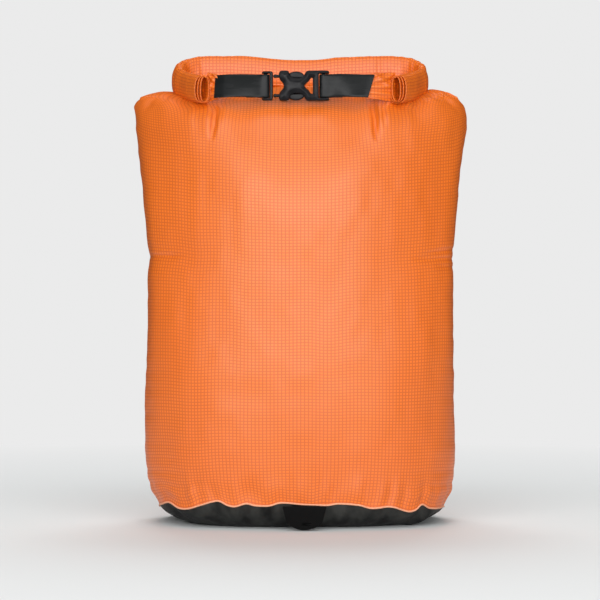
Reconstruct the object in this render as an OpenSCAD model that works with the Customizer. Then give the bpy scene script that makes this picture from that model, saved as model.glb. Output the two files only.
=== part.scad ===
// Roll-top dry bag, filled and closed, standing on its base.
// Millimetres, +Z up, +X to the right as seen from the front, front towards -Y.
// The origin is the middle of the face that it rests on.

/* [Bag] */
// Width over the shoulders, the widest place
shoulder_w = 304; // [290:1:320]
// Width at the waist, half way up
waist_w = 279; // [265:1:285]
// Width at the hips, above the base
hip_w = 284; // [275:1:295]
// Depth from front to back
depth = 198; // [185:1:210]
// Height of the shoulders at the sides
shoulder_h = 366; // [355:1:370]
// Thickness of the coated cloth
cloth_t = 1; // [0.6:0.1:1.2]
// Half length of the gathered neck under the roll
neck_half = 112; // [106:1:114]

/* [Base] */
// Width of the face that it rests on
rest_w = 200; // [180:1:210]
// Depth of the face that it rests on
rest_d = 124; // [110:1:130]
// Height of the base seam at the sides
seam_side_h = 13; // [11:1:16]
// Height of the base seam at the front and the back
seam_front_h = 22; // [20:1:23]

/* [Roll] */
// Height of the rolled band
roll_h = 28; // [26:1:29]
// Thickness of the rolled band
roll_t = 12; // [10:1:13]
// Height of the slit between the turns that holds the stiffener
slit_h = 23; // [22:0.5:23]
// Thickness of that slit
slit_t = 2.6; // [2.4:0.1:3]
// Height of the stiffener strip
stiffener_h = 20; // [18:0.5:21]
// Thickness of the stiffener strip
stiffener_t = 1.6; // [1:0.1:1.8]

/* [Strap] */
// Width of the closure strap
strap_w = 20.5; // [19:0.5:20.5]
// Thickness of the closure strap
strap_t = 1.3; // [1:0.1:1.4]
// Height of the middle of the strap and the buckle
strap_z = 390.6; // [389:0.2:391.4]

/* [Buckle] */
// Depth of the middle of the buckle in front of the bag's middle
buckle_y = -72; // [-73:0.5:-72]
// Height of the socket
socket_h = 26.6; // [26:0.2:27]
// Thickness of the socket, front to back
socket_t = 9; // [8:0.5:10]
// Thickness of the plug's frame, front to back
plug_t = 6.4; // [6:0.2:7]
// Radius of the two bars that the straps go round
bar_r = 1.7; // [1.5:0.1:1.8]
// Thickness of a latch arm, front to back
arm_t = 4.8; // [4:0.2:5]

/* [Lash tab] */
// Width of the tab where it leaves the seam
tab_w = 38; // [30:1:40]
// Thickness of the tab
tab_t = 2; // [1.6:0.1:2.2]
// Width of the tab's slot
tab_slot_w = 8; // [6:0.5:12]
// Height of the tab's slot
tab_slot_h = 2.6; // [2:0.2:3.4]

/* [Hidden] */

ORANGE = [0.93, 0.42, 0.14];
PALE = [0.96, 0.66, 0.52];
CHARCOAL = [0.16, 0.16, 0.17];
BLACK = [0.07, 0.07, 0.08];
GREY = [0.55, 0.56, 0.58];

// ---- the skin of the bag: one grid of points that every cloth piece is cut from ----

COLUMNS = 72;            // columns right round, starting at the left side
HALF = COLUMNS / 2;      // the column at the right side
FRONT = COLUMNS / 4;     // the column at the middle of the front
BASE_ROWS = 5;           // rows from the resting face up to the seam
WALL_ROWS = 12;          // rows from the seam up to the shoulders
TOP_ROWS = 8;            // rows from the shoulders to the neck
SEAM_ROW = BASE_ROWS + 1;
SHOULDER_ROW = SEAM_ROW + WALL_ROWS;
NECK_ROW = SHOULDER_ROW + TOP_ROWS;
SEAM_GAP = 1;            // half the gap that the bound edge fills
NECK_GAP = 1;            // half the gap between the panels at the neck
NECK_Y = 11;             // the neck lies behind the middle, under the roll's back span
NECK_Z = 400;            // highest place that the neck may reach

// half width, half depth and squareness at each height
HALF_WIDTH = [
  [11, hip_w / 2 - 12], [22, hip_w / 2 - 6.5], [36, hip_w / 2 - 2], [60, hip_w / 2],
  [111, hip_w / 2 - 1], [170, waist_w / 2 + 0.3], [241, waist_w / 2], [288, waist_w / 2 + 4],
  [330, shoulder_w / 2 - 4.5], [350, shoulder_w / 2 - 1.5], [366, shoulder_w / 2]
];
HALF_DEPTH = [
  [11, depth / 2 - 13], [22, depth / 2 - 7], [36, depth / 2 - 3.5], [60, depth / 2 - 1.5],
  [111, depth / 2 - 0.5], [170, depth / 2], [241, depth / 2], [288, depth / 2 - 2],
  [330, depth / 2 - 6], [350, depth / 2 - 9], [366, depth / 2 - 13]
];
SQUARENESS = [[11, 2.6], [241, 2.6], [366, 2.2]];

function turn(c) = 180 + 360 * c / COLUMNS;
function oval(a, half_w, half_d, n) =
  let (r = pow(pow(abs(cos(a)) / half_w, n) + pow(abs(sin(a)) / half_d, n), -1 / n))
  [r * cos(a), r * sin(a)];
function at_height(a, z) =
  let (p = oval(a, lookup(z, HALF_WIDTH), lookup(z, HALF_DEPTH), lookup(z, SQUARENESS)))
  [p.x, p.y, z];
function seam_z(a) = seam_side_h + (seam_front_h - seam_side_h) * pow(sin(a), 2);
function shoulder_z(a) = shoulder_h - 16 * pow(sin(a), 2);

// the base curves up from the resting face to the seam
function base_point(a, k) =
  let (
    t = 90 * k / BASE_ROWS,
    inner = oval(a, rest_w / 2, rest_d / 2, 2.6),
    top = seam_z(a) - SEAM_GAP,
    outer = at_height(a, top),
    out = pow(sin(t), 4 / 3),
    up = 1 - pow(cos(t), 4 / 3)
  )
  [inner.x + (outer.x - inner.x) * out, inner.y + (outer.y - inner.y) * out, top * up];

function wall_point(a, k) =
  let (low = seam_z(a) + SEAM_GAP)
  at_height(a, low + (shoulder_z(a) - low) * pow(k / WALL_ROWS, 1.5));

// the top closes over to the neck, squarest at the sides and lowest under the roll's arms
function top_squareness(a) =
  sin(a) < 0 ? 1 + 1.9 * pow(abs(cos(a)), 12) + 0.5 * pow(abs(sin(a)), 12)
             : 2 + 0.9 * pow(cos(a), 2);
function top_point(a, k) =
  let (
    t = 90 * k / TOP_ROWS,
    m = top_squareness(a),
    edge = at_height(a, shoulder_z(a)),
    neck = [neck_half * cos(a), NECK_Y + (sin(a) < -0.001 ? -NECK_GAP : sin(a) > 0.001 ? NECK_GAP : 0)],
    out = pow(max(cos(t), 0), 2 / m),
    up = pow(sin(t), 2 / m),
    x = neck.x + (edge.x - neck.x) * out,
    y = neck.y + (edge.y - neck.y) * out
  )
  [x, y, min(edge.z + (NECK_Z - edge.z) * up, under_roll(x, y))];

function skin_point(row, c) =
  let (a = turn(c))
  row < SEAM_ROW ? base_point(a, row)
  : row <= SHOULDER_ROW ? wall_point(a, row - SEAM_ROW)
  : top_point(a, row - SHOULDER_ROW);

// ---- the line that the roll follows, from its left end round the back to its right end ----

ROLL_LEFT = [
  [-76, -65, 389.6], [-90, -54, 390.4], [-103, -38, 393.5], [-109, -20, 398],
  [-107, -3, 404], [-96, 9, 409.5], [-75, 13, 412], [-40, 12, 411]
];
ROLL_MIDDLE = [0, 10, 408.5];
ROLL_POINTS = concat(
  ROLL_LEFT, [ROLL_MIDDLE], [for (i = [7:-1:0]) [-ROLL_LEFT[i].x, ROLL_LEFT[i].y, ROLL_LEFT[i].z]]
);
ROLL_SPANS = len(ROLL_POINTS) - 1;
STEPS = 4;
STATIONS = ROLL_SPANS * STEPS;

function curve(p0, p1, p2, p3, t) =
  0.5 * (2 * p1 + (p2 - p0) * t + (2 * p0 - 5 * p1 + 4 * p2 - p3) * t * t
         + (3 * p1 - p0 - 3 * p2 + p3) * t * t * t);
function roll_knot(i) =
  i < 0 ? 2 * ROLL_POINTS[0] - ROLL_POINTS[1]
  : i > ROLL_SPANS ? 2 * ROLL_POINTS[ROLL_SPANS] - ROLL_POINTS[ROLL_SPANS - 1]
  : ROLL_POINTS[i];
function roll_line(s) =
  let (i = min(floor(s / STEPS), ROLL_SPANS - 1))
  curve(roll_knot(i - 1), roll_knot(i), roll_knot(i + 1), roll_knot(i + 2), s / STEPS - i);
ROLL = [for (s = [0:STATIONS]) roll_line(s)];

// unit normal of the roll's line in plan, towards the outside of the ring
function roll_out(s) =
  let (d = ROLL[min(s + 1, STATIONS)] - ROLL[max(s - 1, 0)], l = norm([d.x, d.y]))
  [-d.y / l, d.x / l, 0];

// the cloth stays below the roll where the roll passes over it
ROLL_CLEAR = 0.6;
ROLL_REACH = 13;         // how far from the roll's line the cloth starts to rise beside it
function under_roll(x, y) =
  min([for (p = ROLL)
    p.z - roll_h / 2 - ROLL_CLEAR + max(0, norm([p.x - x, p.y - y]) - ROLL_REACH)]);

// ---- points, normals and solids between two layers ----

SKIN = [for (row = [0:NECK_ROW]) [for (c = [0:COLUMNS - 1]) skin_point(row, c)]];
function wrapped(c) = (c + COLUMNS) % COLUMNS;
function skin_normal(row, c) =
  row == 0 ? [0, 0, -1]
  : row == NECK_ROW ? skin_normal(NECK_ROW - 1, c)
  : let (
      along = SKIN[row][wrapped(c + 1)] - SKIN[row][wrapped(c - 1)],
      up = SKIN[row + 1][c] - SKIN[row - 1][c],
      n = cross(along, up)
    )
    n / norm(n);
NORMALS = [for (row = [0:NECK_ROW]) [for (c = [0:COLUMNS - 1]) skin_normal(row, c)]];
function layer(rows, columns, inset) =
  [for (row = rows) [for (c = columns)
    SKIN[row][wrapped(c)] - inset * NORMALS[row][wrapped(c)]]];

// A closed solid between two grids of points. Each grid is rows of columns, and its faces
// are triangles. With wrap, the last column joins the first.
module slab(outer, inner, wrap = false) {
  rows = len(outer);
  cols = len(outer[0]);
  k = rows * cols;
  last = wrap ? cols - 1 : cols - 2;
  function v(r, c) = r * cols + c % cols;
  skins = [for (r = [0:rows - 2], c = [0:last]) each [
    [v(r, c), v(r + 1, c), v(r + 1, c + 1)],
    [v(r, c), v(r + 1, c + 1), v(r, c + 1)],
    [k + v(r, c), k + v(r + 1, c + 1), k + v(r + 1, c)],
    [k + v(r, c), k + v(r, c + 1), k + v(r + 1, c + 1)]
  ]];
  ends = [for (c = [0:last]) each [
    [v(0, c), v(0, c + 1), k + v(0, c + 1)],
    [v(0, c), k + v(0, c + 1), k + v(0, c)],
    [v(rows - 1, c + 1), v(rows - 1, c), k + v(rows - 1, c)],
    [v(rows - 1, c + 1), k + v(rows - 1, c), k + v(rows - 1, c + 1)]
  ]];
  sides = wrap ? [] : [for (r = [0:rows - 2]) each [
    [v(r + 1, 0), v(r, 0), k + v(r, 0)],
    [v(r + 1, 0), k + v(r, 0), k + v(r + 1, 0)],
    [v(r, cols - 1), v(r + 1, cols - 1), k + v(r + 1, cols - 1)],
    [v(r, cols - 1), k + v(r + 1, cols - 1), k + v(r, cols - 1)]
  ]];
  polyhedron(
    points = [for (grid = [outer, inner], row = grid) each row],
    faces = concat(skins, ends, sides)
  );
}

// a piece of cloth or tape cut from the skin, from one inset to another
module cloth(rows, columns, inset, thickness, wrap = false) {
  slab(layer(rows, columns, inset), layer(rows, columns, inset + thickness), wrap);
}

// ---- cloth pieces ----

TAPE_INSET = cloth_t + 0.3;
TAPE_T = 0.4;
ALL_ROUND = [0:COLUMNS - 1];

module front_panel() {
  color(ORANGE) cloth([SEAM_ROW:NECK_ROW], [0:HALF], 0, cloth_t);
}

module back_panel() {
  color(ORANGE) cloth([SEAM_ROW:NECK_ROW], [HALF:COLUMNS], 0, cloth_t);
}

module base_panel() {
  rim = [for (c = ALL_ROUND) [SKIN[0][c].x, SKIN[0][c].y]];
  color(CHARCOAL) union() {
    linear_extrude(cloth_t) polygon(rim);
    cloth([0:BASE_ROWS], ALL_ROUND, 0, cloth_t, true);
  }
}

// the bound edge fills the gap between the base and the panels, and stands a little proud
module base_seam_binding() {
  proud = 0.6;
  deep = 1;
  function edge(share, inset) = [for (c = ALL_ROUND)
    (1 - share) * SKIN[BASE_ROWS][c] + share * SKIN[SEAM_ROW][c] - inset * NORMALS[SEAM_ROW][c]];
  color(PALE) slab([edge(0.1, -proud), edge(0.9, -proud)], [edge(0.1, deep), edge(0.9, deep)], true);
}

module base_seam_tape() {
  color(GREY) cloth([BASE_ROWS - 1:SEAM_ROW + 1], ALL_ROUND, TAPE_INSET, TAPE_T, true);
}

module side_seam_tape(column) {
  color(GREY) cloth([SEAM_ROW + 2:SHOULDER_ROW], [column - 1:column + 1], TAPE_INSET, TAPE_T);
}

module side_seam_tape_left() {
  side_seam_tape(COLUMNS);
}

module side_seam_tape_right() {
  side_seam_tape(HALF);
}

// ---- the roll ----

ROLL_SIDES = 16;
// a rounded box, as a point at each angle, rounder as the power rises
function rounded(a, half_w, half_h, power) =
  [half_w * sign(cos(a)) * pow(abs(cos(a)), power), half_h * sign(sin(a)) * pow(abs(sin(a)), power)];
function roll_section(s, thick, high, power) =
  [for (i = [0:ROLL_SIDES - 1])
    let (p = rounded(360 * i / ROLL_SIDES, thick / 2, high / 2, power))
    ROLL[s] + p.x * roll_out(s) + [0, 0, p.y]];

module roll_top() {
  color(ORANGE) slab(
    [for (s = [0:STATIONS]) roll_section(s, roll_t, roll_h, 0.7)],
    [for (s = [0:STATIONS]) roll_section(s, slit_t, slit_h, 0.5)],
    true
  );
}

// the stiffener stops short of the roll's ends, where the straps go in
module closure_stiffener() {
  function side(out) = [for (s = [3:STATIONS - 3]) [for (up = [-1, 1])
    ROLL[s] + out * stiffener_t / 2 * roll_out(s) + [0, 0, up * stiffener_h / 2]]];
  color(BLACK) slab(side(1), side(-1));
}

// ---- straps ----

WRAP_R = bar_r + 0.25 + strap_t / 2;
LEFT_BAR_X = -31;
RIGHT_BAR_X = 20.1;

// The middle line of the left strap in plan, out of the roll, round the bar and back to its
// sewn end. The right strap is the mirror image, with its own bar.
function strap_line(bar_x) = concat(
  [[-79.6, -62.2], [-76, -65], [-72, -68.3], [-67, -71.2], [-60, -72.8],
   [bar_x - 16, -73.4], [bar_x - 8, -74.1]],
  [for (a = [-100:19:90]) [bar_x + WRAP_R * cos(a), buckle_y + WRAP_R * sin(a)]],
  [[bar_x - 5, -70.5], [bar_x - 9, -72.2], [bar_x - 17, -71.85]]
);
function line_normal(line, i) =
  let (d = line[min(i + 1, len(line) - 1)] - line[max(i - 1, 0)])
  [-d.y, d.x] / norm(d);
function ribbon(line, t) = concat(
  [for (i = [0:len(line) - 1]) line[i] + t / 2 * line_normal(line, i)],
  [for (i = [len(line) - 1:-1:0]) line[i] - t / 2 * line_normal(line, i)]
);

module strap(bar_x) {
  color(BLACK) translate([0, 0, strap_z - strap_w / 2]) linear_extrude(strap_w)
    polygon(ribbon(strap_line(bar_x), strap_t));
}

module strap_left() {
  strap(LEFT_BAR_X);
}

module strap_right() {
  mirror([1, 0, 0]) strap(-RIGHT_BAR_X);
}

// short threads of a bar tack, on the back of the strap's sewn end
THREAD_R = 0.35;
module thread(length) {
  rotate([0, 90, 0]) cylinder(r = THREAD_R, h = length, $fn = 16);
}

module strap_stitching(bar_x) {
  threads = 9;
  margin = 2;
  from_bar = 15.4;
  behind = 1.35;
  pitch = (strap_w - 2 * margin) / (threads - 1);
  color(GREY) for (i = [0:threads - 1])
    translate([bar_x - from_bar, buckle_y + behind, strap_z - strap_w / 2 + margin + i * pitch])
      thread(3);
}

module strap_left_stitching() {
  strap_stitching(LEFT_BAR_X);
}

module strap_right_stitching() {
  mirror([1, 0, 0]) strap_stitching(-RIGHT_BAR_X);
}

// ---- buckle: drawn flat in X and Z about the strap's middle line, then stood up ----

LINK_IN = strap_w / 2 + 0.65;   // inside edge of the links beside the strap
SHOULDER_X = -9.9;              // the socket's catch, which each arm's shoulder bears on
MOUTH_X = -19;
CAVITY_H = 20.8;
CAVITY_T = arm_t + 0.6;
CAVITY_END_X = 4.6;
RIB_H = 4.8;
LATCH_X = -22.6;                // root of each latch arm
LATCH_Z = 8.6;
ROOT_R = 1.6;

// lifts a flat shape into place, with its thickness centred on the buckle
module stand(thickness) {
  translate([0, buckle_y + thickness / 2, strap_z]) rotate([90, 0, 0])
    linear_extrude(thickness) children();
}

module both_halves() {
  children();
  mirror([0, 1]) children();
}

module plate(x0, x1, z0, z1, corner) {
  translate([x0, z0]) {
    translate([corner, 0]) square([x1 - x0 - 2 * corner, z1 - z0]);
    translate([0, corner]) square([x1 - x0, z1 - z0 - 2 * corner]);
    for (x = [corner, x1 - x0 - corner], z = [corner, z1 - z0 - corner])
      translate([x, z]) circle(r = corner, $fn = 32);
  }
}

module bar(x) {
  translate([x, buckle_y, strap_z - LINK_IN - 0.5]) cylinder(r = bar_r, h = 2 * LINK_IN + 1, $fn = 48);
}

module buckle_plug() {
  left = LEFT_BAR_X - 3.4;
  right = LATCH_X - ROOT_R - 0.15;
  crossbar = 2.9;
  half_h = LINK_IN + 2;
  color(BLACK) union() {
    stand(plug_t) difference() {
      plate(left, right, -half_h, half_h, 2.2);
      translate([left - 1, -LINK_IN]) square([right - crossbar - left + 1, 2 * LINK_IN]);
    }
    bar(LEFT_BAR_X);
  }
}

// an arm runs from its root into the socket, and its tab bulges out of the socket's side
module latch_arm(side) {
  color(BLACK) translate([0, 0, strap_z]) mirror([0, 0, side < 0 ? 1 : 0]) translate([0, 0, -strap_z])
    union() {
      stand(arm_t) {
        polygon([
          [LATCH_X, 7.3], [-10, 7.3], [-8, 6.9], [1.5, 6.7], [3, 7.2], [3.6, 8.2], [3.4, 9.4],
          [1.6, 11.2], [-0.8, 12.3], [-3.4, 12.7], [-6, 12.5], [-8.4, 11.9], [-9.6, 11.4],
          [-9.6, 9.9], [LATCH_X, 9.9]
        ]);
      }
      translate([LATCH_X, buckle_y + arm_t / 2, strap_z + LATCH_Z]) rotate([90, 0, 0])
        cylinder(r = ROOT_R, h = arm_t, $fn = 32);
    }
}

module latch_arm_upper() {
  latch_arm(1);
}

module latch_arm_lower() {
  latch_arm(-1);
}

// outline of the socket's upper half: mouth lobe, waist, rear lobe and the link to the web bar
SOCKET_HALF = [
  [-14.6, -0.01], [-15.4, 2.4], [-17.8, 5.2], [MOUTH_X, 7.6], [MOUTH_X - 0.2, 10.6], [-18.4, 12.6],
  [-16.6, socket_h / 2], [-12.6, socket_h / 2], [-10.6, 12.7], [SHOULDER_X, 11.4], [-9.2, 9.4],
  [-7.6, 7.5], [-5.2, 6.7], [-0.8, 6.7], [1.6, 7.5], [3.2, 9.2], [4.2, 11.4], [5.4, 12.8],
  [7.2, socket_h / 2], [23.4, socket_h / 2], [24.9, 12.8], [25.5, 11.8], [25.2, 10.9],
  [23.4, 10.6], [22, LINK_IN], [16.2, LINK_IN], [16.2, -0.01]
];

module buckle_socket() {
  color(BLACK) union() {
    difference() {
      stand(socket_t) difference() {
        both_halves() polygon(SOCKET_HALF);
        both_halves() polygon([[3.2, -0.01], [4.6, 2], [7.4, 4.4], [9, 7], [10.8, 7.4], [10.8, -0.01]]);
      }
      stand(CAVITY_T) difference() {
        translate([MOUTH_X - 2, -CAVITY_H / 2]) square([CAVITY_END_X - MOUTH_X + 2, CAVITY_H]);
        translate([-13, -RIB_H / 2]) square([30, RIB_H]);
      }
      stand(CAVITY_T) translate([SHOULDER_X, -14]) difference() {
        square([CAVITY_END_X - 0.4 - SHOULDER_X, 28]);
        translate([-1, 8]) square([30, 12]);
      }
    }
    bar(RIGHT_BAR_X);
  }
}

// ---- lash tab ----

TAB_X = 3.4;
HINGE_Y = -94.3;
HINGE_Z = 20.2;
TAB_BOTTOM = 0.6;
TAB_TAPER = 5;           // how far each side leans in
TAB_END_R = 22;          // radius of the rounded lower end
SLOT_X = 1.4;            // the slot sits a little to the right of the tab's middle
SLOT_Z = 5.8;

module tab_outline() {
  foot = tab_w / 2 - TAB_TAPER;
  intersection() {
    polygon([[-tab_w / 2, HINGE_Z], [tab_w / 2, HINGE_Z], [foot, 0], [-foot, 0]]);
    translate([0, TAB_BOTTOM + TAB_END_R]) circle(r = TAB_END_R, $fn = 96);
  }
}

module slot_outline() {
  reach = (tab_slot_w - tab_slot_h) / 2;
  for (x = [-reach, reach]) translate([x, 0]) circle(d = tab_slot_h, $fn = 32);
  square([2 * reach, tab_slot_h], center = true);
}

module lash_tab() {
  color(BLACK) difference() {
    union() {
      translate([TAB_X, HINGE_Y + tab_t / 2, 0]) rotate([90, 0, 0]) linear_extrude(tab_t) tab_outline();
      translate([TAB_X - tab_w / 2, HINGE_Y, HINGE_Z]) rotate([0, 90, 0])
        cylinder(d = tab_t, h = tab_w, $fn = 32);
    }
    translate([TAB_X + SLOT_X, HINGE_Y + tab_t, SLOT_Z]) rotate([90, 0, 0])
      linear_extrude(2 * tab_t) slot_outline();
  }
}

// the tab's other end, sewn in behind the seam
module lash_tab_anchor() {
  color(BLACK) cloth([BASE_ROWS - 1:SEAM_ROW + 1], [FRONT - 2:FRONT + 2], TAPE_INSET + TAPE_T + 0.3, 1.2);
}

// thread bars across the tab's root, on the face of the anchor
module lash_tab_bartacks() {
  length = 5;
  pitch = 12;
  behind = 7.2;
  color(GREY) for (i = [-1:1])
    translate([TAB_X + i * pitch - length / 2, HINGE_Y + behind, HINGE_Z]) thread(length);
}

front_panel();
back_panel();
base_panel();
base_seam_binding();
base_seam_tape();
side_seam_tape_left();
side_seam_tape_right();
roll_top();
closure_stiffener();
strap_left();
strap_right();
strap_left_stitching();
strap_right_stitching();
buckle_plug();
latch_arm_upper();
latch_arm_lower();
buckle_socket();
lash_tab();
lash_tab_anchor();
lash_tab_bartacks();
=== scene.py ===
"""Roll-top dry bag: cloth, webbing, moulded plastic and light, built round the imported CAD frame."""

import math

import bpy
import numpy as np
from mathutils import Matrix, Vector
from mathutils.kdtree import KDTree


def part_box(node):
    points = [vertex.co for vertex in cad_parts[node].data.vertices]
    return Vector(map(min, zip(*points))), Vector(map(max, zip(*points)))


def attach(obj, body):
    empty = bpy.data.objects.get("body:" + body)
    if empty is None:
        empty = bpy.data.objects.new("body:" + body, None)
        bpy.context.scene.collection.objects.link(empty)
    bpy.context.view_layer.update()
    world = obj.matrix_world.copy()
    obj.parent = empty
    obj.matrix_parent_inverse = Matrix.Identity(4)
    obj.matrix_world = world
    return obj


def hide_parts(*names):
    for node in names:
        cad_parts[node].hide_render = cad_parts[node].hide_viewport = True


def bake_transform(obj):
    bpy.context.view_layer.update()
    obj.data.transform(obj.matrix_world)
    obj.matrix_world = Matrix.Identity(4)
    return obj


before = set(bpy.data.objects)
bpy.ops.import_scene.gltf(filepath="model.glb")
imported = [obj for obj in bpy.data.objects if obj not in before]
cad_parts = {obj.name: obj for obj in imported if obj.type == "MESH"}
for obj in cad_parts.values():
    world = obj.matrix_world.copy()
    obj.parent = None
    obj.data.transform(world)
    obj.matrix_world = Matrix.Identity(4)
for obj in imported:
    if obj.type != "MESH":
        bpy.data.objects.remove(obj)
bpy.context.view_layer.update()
random = np.random.default_rng(20)


# ---- camera ----

CAMERA_PLACE = (-0.0005, -2.0, 0.2015)
CAMERA_LENS = 130.9


def make_camera():
    """Looks level at the front of the bag from mid height."""
    camera = bpy.data.objects.new("camera", bpy.data.cameras.new("camera"))
    camera.data.lens = CAMERA_LENS
    camera.location = CAMERA_PLACE
    camera.rotation_euler = (math.radians(90), 0, 0)
    bpy.context.scene.collection.objects.link(camera)
    bpy.context.scene.camera = camera


make_camera()


# ---- small helpers for grids of points, all in metres ----


def table(rows):
    """Lengths given in millimetres, as metres."""
    return np.array(rows, float) / 1000


def smooth(t):
    """An eased step from 0 to 1."""
    t = np.clip(t, 0, 1)
    return t * t * (3 - 2 * t)


def ramp(x, x0, x1):
    """Rises from 0 at x0 to 1 at x1, and falls if x1 is the smaller."""
    return smooth((x - x0) / (x1 - x0))


def hump(x, middle, width):
    """A smooth bump that is 1 at its middle."""
    return np.exp(-(((x - middle) / width) ** 2))


def unit(vectors):
    """The vectors at length 1."""
    return vectors / np.linalg.norm(vectors, axis=-1, keepdims=True)


def lengths_along(line):
    """How far along the line each of its points is."""
    return np.r_[0, np.cumsum(np.linalg.norm(np.diff(line, axis=0), axis=1))]


def evened(values, reach):
    """A moving average over the values within reach on both sides."""
    window = 2 * reach + 1
    return np.convolve(np.pad(values, reach, "edge"), np.ones(window) / window, "valid")


def resample(line, fractions):
    """Points at the given fractions of the line's length."""
    run = lengths_along(line)
    return np.stack([np.interp(fractions, run / run[-1], line[:, k]) for k in range(line.shape[1])], 1)


def between(p0, p1, p2, p3, t):
    """The Catmull-Rom curve from p1 to p2, with its neighbours on both sides."""
    return 0.5 * (2 * p1 + (p2 - p0) * t + (2 * p0 - 5 * p1 + 4 * p2 - p3) * t**2
                  + (3 * p1 - p0 - 3 * p2 + p3) * t**3)


def curve_through(points, steps=12):
    """A Catmull-Rom curve through the points."""
    p = np.vstack([2 * points[0] - points[1], points, 2 * points[-1] - points[-2]])
    t = (np.arange(steps) / steps)[:, None]
    spans = [between(*p[i : i + 4], t) for i in range(len(p) - 3)]
    return np.vstack([*spans, p[-2:-1]])


def grid_normals(grid, wrap):
    """Unit normals of a grid of points, rows first."""
    if wrap:
        along = np.roll(grid, -1, 1) - np.roll(grid, 1, 1)
    else:
        along = np.gradient(grid, axis=1)
    n = np.cross(along, np.gradient(grid, axis=0))
    return n / np.maximum(np.linalg.norm(n, axis=2, keepdims=True), 1e-12)


def mesh_piece(name, grid, uv=None, wrap=False, material=None):
    """A mesh of quads from a grid of points, with UVs in metres."""
    rows, cols = grid.shape[:2]
    r, c = np.meshgrid(np.arange(rows - 1), np.arange(cols if wrap else cols - 1), indexing="ij")
    quads = np.stack([r * cols + c, r * cols + (c + 1) % cols, (r + 1) * cols + (c + 1) % cols,
                      (r + 1) * cols + c], 2).reshape(-1, 4)
    mesh = bpy.data.meshes.new(name)
    mesh.from_pydata(grid.reshape(-1, 3).tolist(), [], quads.tolist())
    mesh.shade_smooth()
    if uv is not None:
        uv_cols = uv.shape[1]
        corners = np.stack([r * uv_cols + c, r * uv_cols + c + 1, (r + 1) * uv_cols + c + 1,
                            (r + 1) * uv_cols + c], 2).reshape(-1)
        layer = mesh.uv_layers.new(name="flat")
        layer.data.foreach_set("uv", uv.reshape(-1, 2)[corners].astype(np.float32).ravel())
    piece = bpy.data.objects.new(name, mesh)
    bpy.context.scene.collection.objects.link(piece)
    if material:
        mesh.materials.append(material)
    return piece


# ---- the line of the roll, as in the CAD, from its left end round the back to its right end ----

ROLL_LEFT = table([
    [-86, -66, 388.6], [-93.5, -52, 390.6], [-102, -36, 394], [-109, -19, 398.6],
    [-109.5, -3, 405], [-100, 8.5, 411.5], [-78, 12.5, 413.8], [-40, 12, 412.2],
])
ROLL_MIDDLE = table([[0, 10, 408.8]])
ROLL_HALF_H = 0.014
ROLL_LINE = curve_through(np.vstack([ROLL_LEFT, ROLL_MIDDLE, ROLL_LEFT[::-1] * [-1, 1, 1]]))

# ---- the shell of the bag ----

GIRTH = 0.785  # round the tube
TUBE = 0.452  # up the tube, from the base seam to the roll
SHOULDER = 0.352  # up the tube to where it turns in
EAR_SLACK = 0.03  # cloth to spare at each side, which fills the shoulders' ears
COLUMNS = 144
ROWS = 84
FOOT_SIZE = (0.130, 0.090)  # half width and half depth at the base seam
MOUTH_PLACE = (0.010, 0.408)  # Y and Z of the flat mouth
NECK_INSET = 0.03  # share of the roll's line at each end that the mouth leaves free
NECK_GAP = 0.0012
PIN_ROW = 0.0042  # drop from the last row to the one below, both held

# where the cloth is held at its sides, and how firmly, 0 to 1
CORNER_REACH = 0.045
CORNER_HOLD = 0.98
SIDE_HOLD = 0.5
LIGHTEST_HOLD = 0.002

SIM_FRAMES = 45
PRESSURE = 10

# the start's half width and half depth at each height
HALF_WIDTH = table([
    [11, 130], [22, 135.5], [36, 140], [60, 142], [111, 141], [170, 139.8], [241, 139.5],
    [288, 143.5], [330, 147.5], [350, 150.5], [366, 152],
])
HALF_DEPTH = table([
    [11, 86], [22, 92], [36, 95.5], [60, 97.5], [111, 98.5], [170, 99], [241, 99],
    [288, 97], [330, 93], [350, 90], [366, 86],
])
COLUMN_SHARE = np.arange(COLUMNS) / COLUMNS
COLUMN_ANGLE = math.pi + 2 * math.pi * COLUMN_SHARE
ROW_RUN = np.arange(ROWS + 1) / ROWS * TUBE


def oval(half_w, half_d, power=2.6, steps=720):
    """A superellipse in plan, closed, from its left end round the front."""
    a = math.pi + 2 * math.pi * np.arange(steps + 1) / steps
    r = ((abs(np.cos(a)) / half_w) ** power + (abs(np.sin(a)) / half_d) ** power) ** (-1 / power)
    return np.stack([r * np.cos(a), r * np.sin(a)], 1)


def seam_height(xy):
    """Height of the base seam: higher at the front and the back than at the sides."""
    s = xy[:, 1] ** 2 / (xy**2).sum(1)
    a = np.arctan2(xy[:, 1], xy[:, 0])
    wave = 0.0015 * np.sin(11 * a + 0.4) + 0.0014 * np.sin(17 * a + 1.9) + 0.0009 * np.sin(29 * a)
    return 0.0125 + 0.0085 * s + wave * ramp(s, 0.0, 0.5)


def neck_ring(bend, drop=0.0):
    """The mouth pressed flat, straight (0) or bent round the roll's line (1). Front half first."""
    half = COLUMN_SHARE[: COLUMNS // 2 + 1] * 2
    bent = resample(ROLL_LINE, NECK_INSET + half * (1 - 2 * NECK_INSET))
    flat = np.stack([(half - 0.5) * GIRTH / 2, 0 * half + MOUTH_PLACE[0], 0 * half + MOUTH_PLACE[1]], 1)
    line = flat * (1 - bend) + bent * bend
    d = np.gradient(line, axis=0)
    n = unit(np.stack([-d[:, 1], d[:, 0], 0 * half], 1))
    gap = NECK_GAP * np.minimum(1, 8 * np.minimum(half, 1 - half))[:, None]
    ring = np.vstack([(line - n * gap)[:-1], (line + n * gap)[:0:-1]])
    ring[:, 2] += 0.003 - ROLL_HALF_H - drop
    return ring


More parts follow.
